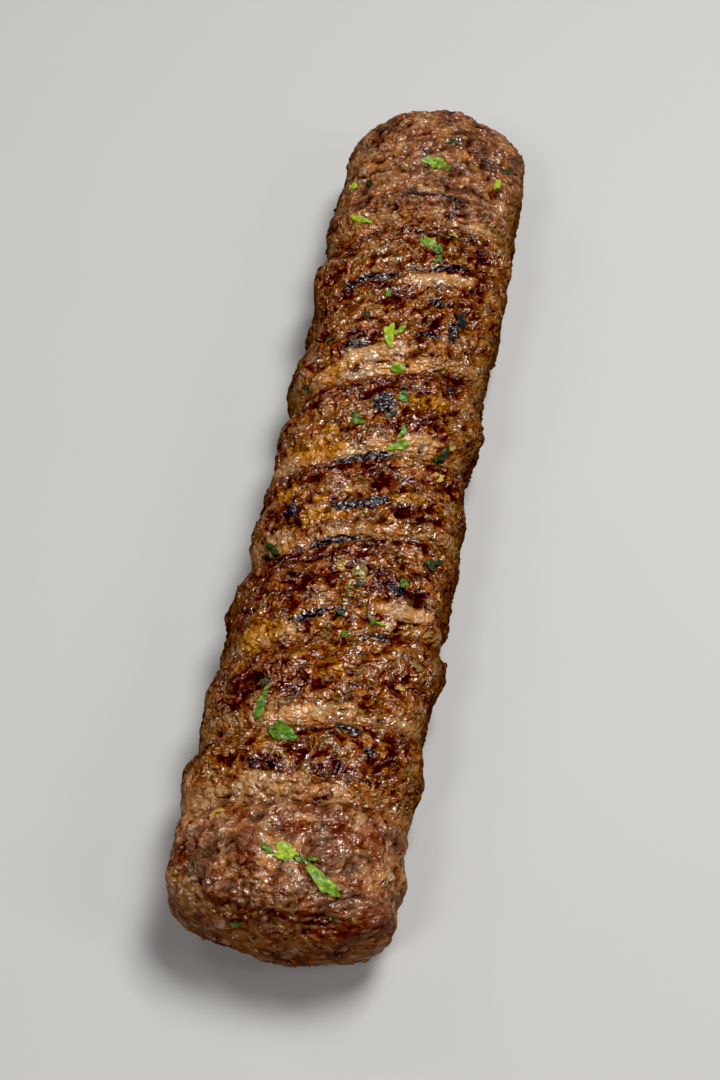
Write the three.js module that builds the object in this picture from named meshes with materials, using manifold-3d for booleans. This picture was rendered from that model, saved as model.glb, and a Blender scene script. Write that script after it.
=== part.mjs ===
// A grilled kofta: one log of spiced minced meat, squeezed by the fingers into slanting
// grooves, lying on its pressed underside, with parsley flecks stuck to its top.
// Millimetres. +Y runs along the log from its near end to its far end, +Z is up, and the
// origin lies on the plane of the resting face, under the middle of the log's box.
import * as THREE from "three";
import { mergeVertices } from "three/addons/utils/BufferGeometryUtils.js";
import Module from "manifold-3d";

// Driving dimensions.
const LENGTH = 195;
const WIDTH = 40;
const THICKNESS = 27.2; // of the rounded section, before its underside is pressed flat
const BASE_PRESS = 1.6; // what the resting face takes off the section
const SECTION_POWER = 2.15; // 2 is an ellipse, more is boxier

// The ends: how far back the rounding starts, how blunt it is, and how much further along the
// end's face lies per millimetre to the right.
const NEAR_END = { reach: 10.0, power: 2.8, skew: -0.03 };
const FAR_END = { reach: 22.4, power: 3.3, skew: 0.06 };
const SKEW_REACH = 26; // how far in from an end its skew fades out

// How wide the log is along its length, as shares of WIDTH.
const WIDTHS = [
  { at: 28, share: 1.0 },
  { at: 60, share: 0.99 },
  { at: 85, share: 0.94 },
  { at: 165, share: 0.98 },
];

// Finger grooves: where each crosses the top's middle line, measured from the near end, how
// much further along it lies per millimetre to the right, and how deep it is.
const GROOVES = [
  { at: 21.0, slant: 0.15, depth: 1.3 },
  { at: 35.8, slant: 0.21, depth: 1.5 },
  { at: 53.4, slant: 0.28, depth: 1.1 },
  { at: 74.0, slant: 0.27, depth: 1.7 },
  { at: 93.4, slant: 0.27, depth: 1.7 },
  { at: 114.3, slant: 0.31, depth: 1.8 },
  { at: 141.0, slant: 0.38, depth: 1.3 },
  { at: 154.0, slant: 0.2, depth: 1.0 },
  { at: 163.5, slant: 0.08, depth: 0.7 },
];
const GROOVE_LIP = 0.9; // the steep side, towards the near end
const GROOVE_RUN = 3.4; // the gentle side, towards the far end
const GROOVE_UNDERSIDE = 0.45; // share of the depth left at the underside
const SWELL = 0.7; // how far each stretch between two grooves bulges

// Coarse lumps of the mince: size and height of each layer.
const LUMPS = [
  { size: 17, height: 0.7, seed: 3 },
  { size: 8.5, height: 0.9, seed: 11 },
  { size: 4.6, height: 0.85, seed: 23 },
];

// Larger parsley flecks: place to the right of the middle line and along the log, length,
// width, and the turn from across the log, in degrees.
const FLECKS = [
  { across: 0.6, along: 11.3, long: 3.8, wide: 2.5, turn: 0 },
  { across: 7.3, along: 8.1, long: 6.2, wide: 2.8, turn: -30 },
  { across: -4.0, along: 32.7, long: 4.6, wide: 4.2, turn: -40 },
  { across: -8.6, along: 37.9, long: 6.6, wide: 1.7, turn: 87 },
  { across: -15.4, along: 71.7, long: 3.4, wide: 2.0, turn: -35 },
  { across: 15.9, along: 73.6, long: 3.8, wide: 2.1, turn: 42 },
  { across: 5.4, along: 96.7, long: 3.8, wide: 2.1, turn: 25 },
  { across: 15.6, along: 98.9, long: 3.2, wide: 2.3, turn: 70 },
  { across: -3.2, along: 100.2, long: 2.6, wide: 2.3, turn: 20 },
  { across: 4.1, along: 107.2, long: 3.1, wide: 2.2, turn: -70 },
  { across: 2.3, along: 116.0, long: 3.3, wide: 2.6, turn: 15 },
  { across: -0.8, along: 122.2, long: 5.1, wide: 2.4, turn: 88 },
  { across: 12.3, along: 131.1, long: 3.5, wide: 3.1, turn: 20 },
  { across: 2.9, along: 147.9, long: 3.9, wide: 2.2, turn: -32 },
  { across: 0.5, along: 172.6, long: 5.5, wide: 2.7, turn: 0 },
];
const FLECK_THICKNESS = 1.1; // half of it is sunk in the meat
const FLECK_SIDES = 8;
const FLECK_TOP_SHARE = 0.84; // its top face is this much narrower than its foot
const FLECK_LEVEL_REACH = 0.8; // the slope under a fleck is taken this far to each side

// Mesh fineness.
const COLUMNS = 52;
const RING_STEP = 2.6;
const END_RINGS = 7;
const ARC_STEP = 0.002; // radians, where an arc's length is added up
const MERGE_WITHIN = 1e-4;
const BEYOND = 10 * LENGTH; // further off than any groove

const HALF_WIDTH = WIDTH / 2;
const HALF_THICKNESS = THICKNESS / 2;
const CENTRE_HEIGHT = HALF_THICKNESS - BASE_PRESS;

const smooth = (t) => t * t * (3 - 2 * t);
const clamp01 = (t) => Math.min(1, Math.max(0, t));

// A repeatable random number from -1 to 1 for each corner of a cubic lattice.
function latticeValue(i, j, k, seed) {
  const wave = Math.sin(i * 127.1 + j * 311.7 + k * 74.7 + seed * 53.3) * 43758.5453;
  return 2 * (wave - Math.floor(wave)) - 1;
}

// Smooth noise from -1 to 1 at a point, with lumps of about the given size.
function lumpNoise(point, size, seed) {
  const scaled = [point.x / size, point.y / size, point.z / size];
  const cell = scaled.map(Math.floor);
  const blend = scaled.map((v, axis) => smooth(v - cell[axis]));
  let sum = 0;
  for (let corner = 0; corner < 8; corner++) {
    const step = [corner & 1, (corner >> 1) & 1, (corner >> 2) & 1];
    const weight = step.reduce((w, on, axis) => w * (on ? blend[axis] : 1 - blend[axis]), 1);
    sum += weight * latticeValue(cell[0] + step[0], cell[1] + step[1], cell[2] + step[2], seed);
  }
  return sum;
}

// How much of the full section an end's rounding leaves, this far in from the end.
function endShare(inward, end) {
  const left = clamp01(1 - inward / end.reach);
  return Math.pow(1 - Math.pow(left, end.power), 1 / end.power);
}

// How far along the log an end's skew moves a point, this far in from the end.
function skewShift(inward, x, end) {
  return end.skew * x * smooth(clamp01(1 - inward / SKEW_REACH));
}

// A value of stations along the log, interpolated at a distance along it.
function valueAt(stations, along, key) {
  const next = stations.findIndex((station) => station.at > along);
  if (next === 0) return stations[0][key];
  if (next === -1) return stations.at(-1)[key];
  const low = stations[next - 1];
  const high = stations[next];
  return THREE.MathUtils.mapLinear(along, low.at, high.at, low[key], high[key]);
}

// The point of the smooth log at a distance along it and an angle round it from the top.
function smoothPoint(along, angle) {
  const sin = Math.sin(angle);
  const cos = Math.cos(angle);
  const p = SECTION_POWER;
  const round = Math.pow(Math.pow(Math.abs(sin), p) + Math.pow(Math.abs(cos), p), -1 / p);
  const share = endShare(along, NEAR_END) * endShare(LENGTH - along, FAR_END);
  const x = HALF_WIDTH * valueAt(WIDTHS, along, "share") * share * round * sin;
  const skew = skewShift(along, x, NEAR_END) + skewShift(LENGTH - along, x, FAR_END);
  return new THREE.Vector3(x, along - LENGTH / 2 + skew, HALF_THICKNESS * share * round * cos);
}

// How far the grooves lower the surface and the stretches between them raise it.
function grooveRelief(along, x, angle) {
  const topShare = GROOVE_UNDERSIDE + (1 - GROOVE_UNDERSIDE) * (0.5 + 0.5 * Math.cos(angle));
  const lines = GROOVES.map((g) => ({ depth: g.depth, past: along - g.at - g.slant * x }));
  let cut = 0;
  for (const line of lines) {
    const run = line.past < 0 ? GROOVE_LIP : GROOVE_RUN;
    cut = Math.max(cut, line.depth * Math.exp(-Math.abs(line.past) / run));
  }
  const before = Math.min(...lines.map((l) => (l.past > 0 ? l.past : BEYOND)));
  const after = Math.min(...lines.map((l) => (l.past > 0 ? BEYOND : -l.past)));
  const between = before < BEYOND && after < BEYOND;
  const middle = between ? (4 * before * after) / (before + after) ** 2 : 0;
  return topShare * (SWELL * middle - cut);
}

// The log's surface point, with its grooves and lumps.
function surfacePoint(along, angle) {
  const base = smoothPoint(along, angle);
  const spineY = THREE.MathUtils.clamp(
    base.y,
    NEAR_END.reach - LENGTH / 2,
    LENGTH / 2 - FAR_END.reach,
  );
  const out = base.clone().sub(new THREE.Vector3(0, spineY, 0)).normalize();
  let height = grooveRelief(along, base.x, angle);
  for (const layer of LUMPS) height += layer.height * lumpNoise(base, layer.size, layer.seed);
  return base.addScaledVector(out, height).add(new THREE.Vector3(0, 0, CENTRE_HEIGHT));
}

// Distances along the log, one for each ring of the mesh: close together at the round ends,
// and with one ring in each groove and one on its lip.
function ringPlaces() {
  const places = [];
  for (let i = 0; i < END_RINGS; i++) {
    places.push(NEAR_END.reach * (1 - Math.cos((i / END_RINGS) * (Math.PI / 2))));
  }
  const stops = [NEAR_END.reach, ...GROOVES.map((g) => g.at), LENGTH - FAR_END.reach];
  for (let k = 0; k + 1 < stops.length; k++) {
    const lip = k + 2 < stops.length ? GROOVE_LIP : 0;
    const span = stops[k + 1] - lip - stops[k];
    const steps = Math.max(1, Math.round(span / RING_STEP));
    for (let i = 0; i < steps; i++) places.push(stops[k] + (span * i) / steps);
    if (lip) places.push(stops[k + 1] - lip);
  }
  for (let i = END_RINGS; i >= 0; i--) {
    places.push(LENGTH - FAR_END.reach * (1 - Math.cos((i / END_RINGS) * (Math.PI / 2))));
  }
  return places;
}

// How far along the log a ring has shifted at an angle, so that it runs with the grooves.
function ringShift(place, angle) {
  const x = HALF_WIDTH * Math.sin(angle);
  const ends = Math.min(place / GROOVES[0].at, (LENGTH - place) / (LENGTH - GROOVES.at(-1).at));
  return valueAt(GROOVES, place, "slant") * x * smooth(clamp01(ends));
}

// The log as a sphere's mesh whose rows are the rings, from the far end to the near end.
// The last column repeats the first and each pole is a single point, to the last digit, so
// that the seam and the poles close when equal points are merged.
function logGeometry() {
  const places = ringPlaces().reverse();
  const rows = places.length - 1;
  const geometry = new THREE.SphereGeometry(1, COLUMNS, rows);
  const position = geometry.getAttribute("position");
  for (let i = 0; i < position.count; i++) {
    const row = Math.floor(i / (COLUMNS + 1));
    const column = i % (COLUMNS + 1) % COLUMNS;
    const atPole = row === 0 || row === rows;
    const angle = atPole ? 0 : (2 * Math.PI * column) / COLUMNS;
    const point = surfacePoint(places[row] + ringShift(places[row], angle), angle);
    position.setXYZ(i, point.x, point.y, point.z);
  }
  return geometry;
}

// The angle round the section at a distance across its surface from the top's middle line.
function angleAcross(across) {
  let walked = 0;
  let angle = 0;
  let last = smoothPoint(LENGTH / 2, 0);
  while (walked < Math.abs(across)) {
    angle += ARC_STEP;
    const next = smoothPoint(LENGTH / 2, angle);
    walked += next.distanceTo(last);
    last = next;
  }
  return Math.sign(across) * angle;
}

// One parsley fleck: a flat leaf scrap, lying on the surface.
function fleckGeometry(fleck) {
  const angle = angleAcross(fleck.across);
  const reach = FLECK_LEVEL_REACH;
  const centre = surfacePoint(fleck.along, angle);
  const across = surfacePoint(fleck.along, angle + reach / HALF_WIDTH)
    .sub(surfacePoint(fleck.along, angle - reach / HALF_WIDTH))
    .normalize();
  const along = surfacePoint(fleck.along + reach, angle)
    .sub(surfacePoint(fleck.along - reach, angle))
    .normalize();
  const up = across.clone().cross(along).normalize();
  const turn = THREE.MathUtils.degToRad(fleck.turn);
  const lengthwise = across.clone().multiplyScalar(Math.cos(turn)).addScaledVector(along, Math.sin(turn));
  const sideways = up.clone().cross(lengthwise).normalize();
  const geometry = new THREE.CylinderGeometry(FLECK_TOP_SHARE / 2, 1 / 2, 1, FLECK_SIDES);
  geometry.scale(fleck.long, FLECK_THICKNESS, fleck.wide);
  geometry.applyMatrix4(new THREE.Matrix4().makeBasis(lengthwise, up, sideways.negate()));
  return geometry.translate(centre.x, centre.y, centre.z);
}

const wasm = await Module();
wasm.setup();

// A closed geometry as a solid that can be joined and cut.
function solidOf(geometry) {
  const bare = geometry.clone();
  bare.deleteAttribute("normal");
  bare.deleteAttribute("uv");
  const merged = mergeVertices(bare, MERGE_WITHIN);
  return new wasm.Manifold(
    new wasm.Mesh({
      numProp: 3,
      vertProperties: new Float32Array(merged.attributes.position.array),
      triVerts: new Uint32Array(merged.index.array),
    }),
  );
}

// A solid back as a geometry, with its box's middle over the origin.
function centredGeometry(solid) {
  const mesh = solid.getMesh();
  const geometry = new THREE.BufferGeometry();
  geometry.setAttribute("position", new THREE.BufferAttribute(mesh.vertProperties, 3));
  geometry.setIndex(new THREE.BufferAttribute(mesh.triVerts, 1));
  geometry.computeBoundingBox();
  const middle = geometry.boundingBox.getCenter(new THREE.Vector3());
  geometry.translate(-middle.x, -middle.y, -geometry.boundingBox.min.z);
  geometry.computeVertexNormals();
  return geometry;
}

// What lies under the resting face.
function floorCutter() {
  const deep = THICKNESS;
  return new THREE.BoxGeometry(2 * WIDTH, 2 * LENGTH, deep).translate(0, 0, -deep / 2);
}

let meat = solidOf(logGeometry()).subtract(solidOf(floorCutter()));
for (const fleck of FLECKS) meat = meat.add(solidOf(fleckGeometry(fleck)));

const kofta = new THREE.Mesh(
  centredGeometry(meat),
  new THREE.MeshStandardMaterial({ color: 0x7a4a2a, roughness: 0.45, metalness: 0 }),
);
kofta.name = "kofta";

const part = new THREE.Group();
part.add(kofta);
export default part;
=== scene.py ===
"""The looks of a grilled kofta.

One log of spiced minced meat, squeezed by the fingers into slanting grooves and browned on a
grill, with parsley flecks and bits of onion stuck to it. Sizes in the classes are millimetres,
and meshes are made in metres. +Y runs along the log from its near end, and +Z is up.
"""

import logging
import math
from dataclasses import dataclass, field
from enum import Enum

import bmesh
import bpy
import numpy as np
from mathutils import Euler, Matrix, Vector


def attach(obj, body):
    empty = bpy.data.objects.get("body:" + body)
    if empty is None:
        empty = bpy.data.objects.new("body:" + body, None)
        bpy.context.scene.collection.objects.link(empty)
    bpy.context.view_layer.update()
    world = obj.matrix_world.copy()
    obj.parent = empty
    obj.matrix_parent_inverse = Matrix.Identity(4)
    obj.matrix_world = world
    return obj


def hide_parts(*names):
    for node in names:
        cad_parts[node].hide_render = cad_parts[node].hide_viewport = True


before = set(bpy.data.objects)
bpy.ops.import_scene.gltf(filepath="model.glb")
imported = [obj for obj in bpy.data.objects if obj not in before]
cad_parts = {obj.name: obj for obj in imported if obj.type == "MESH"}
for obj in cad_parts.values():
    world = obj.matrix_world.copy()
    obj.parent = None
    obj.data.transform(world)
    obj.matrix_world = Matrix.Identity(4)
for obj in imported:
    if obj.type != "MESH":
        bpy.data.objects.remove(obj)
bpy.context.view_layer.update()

log = logging.getLogger("kofta")

Array = np.ndarray
Piece = bpy.types.Object
Socket = bpy.types.NodeSocket
Place = tuple[float, float, float]
Colour = tuple[float, float, float]

MM = 0.001
NODE = "kofta"
BODY = "root"
# What is painted on the meat's vertices for its finish to read.
PAINTED = (
    "pale", "burnt", "rust", "boss", "soot", "glaze",
    "pit", "side", "near", "calm", "open", "tint",
)
# The lattice's random numbers: their wave along each axis, its step for a seed, and its gain.
LATTICE_WAVE = (127.1, 311.7, 74.7)
LATTICE_STEP = 53.3
LATTICE_GAIN = 43758.5453
# Packed grains, in shares of a grain: how far the centres stray, how wide a crease is, and a
# distance beyond all of them. Then the seeds of a centre's coordinates and of its own number.
GRAIN_STRAY = 0.42
GRAIN_CREASE = 0.55
GRAIN_FAR = 9.0
CENTRE_SEEDS = (0.1, 0.2, 0.3)
OWN_SEED = 0.7
# Where a mark starts to fade and where it ends, in its own half sizes, and how far noise moves
# that edge. Then how far noise moves the edge of a painted mask, and that noise's middle.
MARK_EDGE = (0.70, 1.25)
MARK_FRAY = 0.35
MASK_FRAY = 1.2
NOISE_MIDDLE = 0.5


def smooth(t: Array) -> Array:
    """Returns an eased 0 to 1 for t, which is held to that range first."""
    t = np.clip(t, 0.0, 1.0)
    return t * t * (3.0 - 2.0 * t)


def ramp(low: float, high: float, value: Array) -> Array:
    """Returns 0 below low, 1 above high, and an eased step between them."""
    return smooth((value - low) / (high - low))


def lattice_value(cell: Array, seed: float) -> Array:
    """Returns a repeatable number from -1 to 1 for each whole-number place of a lattice."""
    wave = np.sin(cell @ np.array(LATTICE_WAVE) + seed * LATTICE_STEP) * LATTICE_GAIN
    return 2.0 * (wave - np.floor(wave)) - 1.0


def lump_noise(points: Array, size: float | Array | Place, seed: float) -> Array:
    """Smooth noise, the same as the one that shapes the solid.

    Args:
        points: places in millimetres, shape (n, 3).
        size: how large its lumps are, as one number or as one along each axis.
        seed: chooses one noise among many.

    Returns:
        Numbers from -1 to 1, shape (n,).
    """
    scaled = points / size
    cell = np.floor(scaled)
    blend = smooth(scaled - cell)
    total = np.zeros(len(points))
    for corner in range(8):
        step = np.array([corner & 1, (corner >> 1) & 1, (corner >> 2) & 1], float)
        weight = np.prod(np.where(step > 0, blend, 1.0 - blend), axis=1)
        total += weight * lattice_value(cell + step, seed)
    return total


def grain_noise(points: Array, size: Place, seed: float) -> tuple[Array, Array]:
    """Noise made of separate grains, each a rounded cell with a crease round it.

    Args:
        points: places in millimetres, shape (n, 3).
        size: how large a grain is along each axis.
        seed: chooses one packing of grains among many.

    Returns:
        How far inside its grain each point is, from 0 in a crease to about 1, and a random
        number from 0 to 1 that all points of one grain share.
    """
    scaled = points / np.array(size)
    cell = np.floor(scaled)
    nearest, second = np.full((2, len(points)), GRAIN_FAR)
    own = np.zeros(len(points))
    for index in range(27):
        place = cell + np.array([index % 3 - 1, (index // 3) % 3 - 1, index // 9 - 1], float)
        stray = np.stack([lattice_value(place, seed + k) for k in CENTRE_SEEDS], axis=1)
        distance = np.linalg.norm(scaled - (place + 0.5 + GRAIN_STRAY * stray), axis=1)
        closer = distance < nearest
        second = np.where(closer, nearest, np.minimum(second, distance))
        own = np.where(closer, 0.5 + 0.5 * lattice_value(place, seed + OWN_SEED), own)
        nearest = np.where(closer, distance, nearest)
    return np.clip((second - nearest) / GRAIN_CREASE, 0.0, 1.0), own


@dataclass(frozen=True)
class Fade:
    """An eased step, from least where a value is below low to most where it is above high."""

    low: float
    high: float
    least: float = 0.0
    most: float = 1.0

    def at(self, value: Array) -> Array:
        """Returns how strong it is at each value."""
        return self.least + (self.most - self.least) * ramp(self.low, self.high, value)


@dataclass(frozen=True)
class Lump:
    """One layer of smooth noise: the size of its lumps, their height and its seed."""

    size: float | Place
    height: float
    seed: float


def layered(points: Array, *layers: Lump) -> Array:
    """Returns the height that layers of lumps reach together at points."""
    return sum(layer.height * lump_noise(points, layer.size, layer.seed) for layer in layers)


@dataclass(frozen=True)
class End:
    """How an end of the log rounds off.

    reach is how far back that starts, power how blunt it is, and skew how much further along
    its face lies per millimetre to the right.
    """

    reach: float
    power: float
    skew: float

    def share(self, inward: Array) -> Array:
        """Returns the share of the full section that is left this far in from the end."""
        left = np.clip(1.0 - inward / self.reach, 0.0, 1.0)
        return (1.0 - left**self.power) ** (1.0 / self.power)

    def shift(self, inward: Array, x: Array, over: float) -> Array:
        """Returns how far along its skew, which fades out over a length, moves points."""
        return self.skew * x * smooth(1.0 - inward / over)


@dataclass(frozen=True)
class Groove:
    """A finger groove across the log.

    at is where it crosses the top's middle line, slant how much further along it lies per
    millimetre to the right, and depth how deep it is. pale is how bare the band just beyond it
    is, band how wide that is, and char how burnt its lip.
    """

    at: float
    slant: float
    depth: float
    pale: float
    band: float
    char: float


@dataclass
class LogForm:
    """The log's own shape: section, ends, grooves and coarse lumps, as in the solid."""

    length: float = 195.0
    width: float = 40.0
    thickness: float = 27.2
    base_press: float = 1.6
    section_power: float = 2.15
    near_end: End = End(10.0, 2.8, skew=-0.03)
    far_end: End = End(22.4, 3.3, skew=0.06)
    # How far from an end its skew has faded out.
    skew_reach: float = 26.0
    # Distances along the log, and the share of the width that it has there.
    width_stations: tuple[float, ...] = (28, 60, 85, 165)
    width_shares: tuple[float, ...] = (1.0, 0.99, 0.94, 0.98)
    # How far a groove reaches back from its line and on beyond it, the share of its depth that
    # is left at the underside, and how high the meat swells between two grooves.
    groove_lip: float = 0.9
    groove_run: float = 3.4
    groove_underside: float = 0.45
    swell: float = 0.7
    grooves: tuple[Groove, ...] = (
        Groove(21.0, 0.15, 1.3, pale=0.80, band=4.4, char=0.15),
        Groove(35.8, 0.21, 1.5, pale=0.75, band=3.1, char=0.35),
        Groove(53.4, 0.28, 1.1, pale=0.55, band=3.0, char=0.45),
        Groove(74.0, 0.27, 1.7, pale=1.00, band=3.2, char=0.85),
        Groove(93.4, 0.27, 1.7, pale=0.85, band=2.8, char=0.75),
        Groove(114.3, 0.31, 1.8, pale=0.95, band=3.4, char=0.65),
        Groove(141.0, 0.38, 1.3, pale=0.25, band=2.0, char=0.90),
        Groove(154.0, 0.20, 1.0, pale=0.55, band=3.6, char=0.25),
        Groove(163.5, 0.08, 0.7, pale=0.30, band=2.6, char=0.15),
    )
    lumps: tuple[Lump, ...] = (Lump(17, 0.7, 3), Lump(8.5, 0.9, 11), Lump(4.6, 0.85, 23))
    # How finely its arcs are measured, round the section and over an end.
    section_samples: int = 2001
    end_samples: int = 1500

    @property
    def half_width(self) -> float:
        """Half the log's width."""
        return self.width / 2

    @property
    def half_thickness(self) -> float:
        """Half the rounded section's thickness."""
        return self.thickness / 2

    @property
    def centre_height(self) -> float:
        """How high the section's centre lies above the resting face."""
        return self.half_thickness - self.base_press

    @property
    def half_girth(self) -> float:
        """The distance round the full section from its top to its bottom."""
        return self.across_of(np.array([math.pi]))[0]

    def end_share(self, along: Array) -> Array:
        """Returns the share of the full section that both ends leave at distances along it."""
        return self.near_end.share(along) * self.far_end.share(self.length - along)

    def slant_at(self, along: Array) -> Array:
        """Returns the slant that grooves have, or would have, at distances along the log."""
        return np.interp(along, [g.at for g in self.grooves], [g.slant for g in self.grooves])

    def smooth_points(self, along: Array, angle: Array) -> Array:
        """The smooth log's surface, about its own centre.

        Args:
            along: distances from the near end.
            angle: angles round the section from the top, positive to the right.

        Returns:
            Points, shape (n, 3).
        """
        sin, cos = np.sin(angle), np.cos(angle)
        power = self.section_power
        round_off = (np.abs(sin) ** power + np.abs(cos) ** power) ** (-1.0 / power)
        share = self.end_share(along)
        width = np.interp(along, self.width_stations, self.width_shares)
        x = self.half_width * width * share * round_off * sin
        skew = self.near_end.shift(along, x, self.skew_reach)
        skew += self.far_end.shift(self.length - along, x, self.skew_reach)
        height = self.half_thickness * share * round_off * cos
        return np.stack([x, along - self.length / 2 + skew, height], axis=1)

    def past_grooves(self, along: Array, x: Array) -> Array:
        """Returns how far beyond each groove's line every point is, shape (grooves, n)."""
        return np.stack([along - g.at - g.slant * x for g in self.grooves])

    def squared_up(self, base: Array) -> Array:
        """Points moved along the log so that the grooves would cross it squarely.

        Args:
            base: points of the smooth log.

        Returns:
            The moved points.
        """
        moved = base.copy()
        moved[:, 1] -= self.slant_at(base[:, 1] + self.length / 2) * base[:, 0]
        return moved

    def groove_relief(self, along: Array, x: Array, angle: Array) -> Array:
        """How far grooves lower the surface and the stretches between raise it.

        Args:
            along: distances from the near end.
            x: distances to the right of the middle.
            angle: angles round the section from the top.

        Returns:
            Heights.
        """
        under = self.groove_underside
        top_share = under + (1.0 - under) * (0.5 + 0.5 * np.cos(angle))
        past = self.past_grooves(along, x)
        run = np.where(past < 0, self.groove_lip, self.groove_run)
        depth = np.array([g.depth for g in self.grooves])[:, None]
        cut = (depth * np.exp(-np.abs(past) / run)).max(axis=0)
        beyond = 10 * self.length
        before = np.where(past > 0, past, beyond).min(axis=0)
        after = np.where(past > 0, beyond, -past).min(axis=0)
        between = (before < beyond) & (after < beyond)
        middle = np.where(between, 4 * before * after / (before + after) ** 2, 0.0)
        return top_share * (self.swell * middle - cut)

    def outward(self, base: Array) -> Array:
        """The directions in which the smooth log is raised.

        Args:
            base: points of the smooth log.

        Returns:
            Unit vectors, shape (n, 3).
        """
        near, far = self.near_end.reach, self.length - self.far_end.reach
        spine = np.clip(base[:, 1], near - self.length / 2, far - self.length / 2)
        out = base - np.stack([0 * spine, spine, 0 * spine], axis=1)
        return out / np.linalg.norm(out, axis=1, keepdims=True)

    def angle_across(self, across: Array) -> Array:
        """Returns the angle at each distance across the surface from the top's middle line."""
        table, walked = self._arc_table()
        return np.interp(across, walked, table)

    def across_of(self, angle: Array) -> Array:
        """Returns the distance across the surface, from the top's middle line, at each angle."""
        table, walked = self._arc_table()
        return np.interp(angle, table, walked)

    def _arc_table(self) -> tuple[Array, Array]:
        """Measures round the full section.

        Returns:
            Angles from -pi to pi, and the distance from the top at each.
        """
        table = np.linspace(-math.pi, math.pi, self.section_samples)
        points = self.smooth_points(np.full(len(table), self.length / 2), table)
        steps = np.linalg.norm(np.diff(points, axis=0), axis=1)
        walked = np.concatenate([[0.0], np.cumsum(steps)])
        return table, walked - walked[len(table) // 2]

    def ring_places(self, shares: Array) -> Array:
        """Rings evenly spaced over the log's outline, end faces included.

        Args:
            shares: from 0 at the near pole to 1 at the far pole.

        Returns:
            Distances along the log.
        """
        ease = np.linspace(0.0, 1.0, self.end_samples)
        near = self.near_end.reach * ease**self.near_end.power
        far = self.length - (self.far_end.reach * ease**self.far_end.power)[::-1]
        along = np.concatenate([near, far])
        mean_radius = (self.half_width + self.half_thickness) / 2
        steps = np.hypot(np.diff(along), mean_radius * np.diff(self.end_share(along)))
        walked = np.concatenate([[0.0], np.cumsum(steps)])
        return np.interp(shares, walked / walked[-1], along)

    def ring_shift(self, place: Array, angle: Array) -> Array:
        """How far along a ring moves, so that it runs with the grooves.

        Args:
            place: the rings' distances along the log.
            angle: angles round them from the top.

        Returns:
            Distances along the log.
        """
        first, last = self.grooves[0].at, self.grooves[-1].at
        ends = np.minimum(place / first, (self.length - place) / (self.length - last))
        return self.slant_at(place) * (self.half_width * np.sin(angle)) * smooth(ends)


@dataclass(frozen=True)
class Mark:
    """A mark on the surface.

    across and along place it, in millimetres to the right of the top's middle line and from
    the near end. long and wide are its size, and turn its angle from across the log.
    """

    across: float
    along: float
    long: float
    wide: float
    turn: float = 0.0

    def inside(self, across: Array, along: Array, ragged: Array) -> Array:
        """How far inside the mark points are.

        Args:
            across: the points' distances across the surface.
            along: their distances along the log.
            ragged: noise from -1 to 1 that frays the outline.

        Returns:
            1 well inside, 0 outside, eased between.
        """
        turn = math.radians(self.turn)
        right, far = across - self.across, along - self.along
        u = (right * math.cos(turn) + far * math.sin(turn)) / (self.long / 2)
        v = (far * math.cos(turn) - right * math.sin(turn)) / (self.wide / 2)
        return 1.0 - ramp(*MARK_EDGE, np.hypot(u, v) + MARK_FRAY * ragged)


def marks(*rows: tuple[float, ...]) -> tuple[Mark, ...]:
    """Returns a mark for each row of its numbers: across, along, long, wide and turn."""
    return tuple(Mark(*row) for row in rows)


def most_inside(found: tuple[Mark, ...], across: Array, along: Array, ragged: Array) -> Array:
    """How far inside any of some marks points are.

    Args:
        found: the marks.
        across: the points' distances across the surface.
        along: their distances along the log.
        ragged: noise from -1 to 1 that frays the outlines.

    Returns:
        1 well inside a mark, 0 outside all, eased between.
    """
    total = np.zeros(len(along))
    for mark in found:
        total = np.maximum(total, mark.inside(across, along, ragged))
    return total


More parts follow.
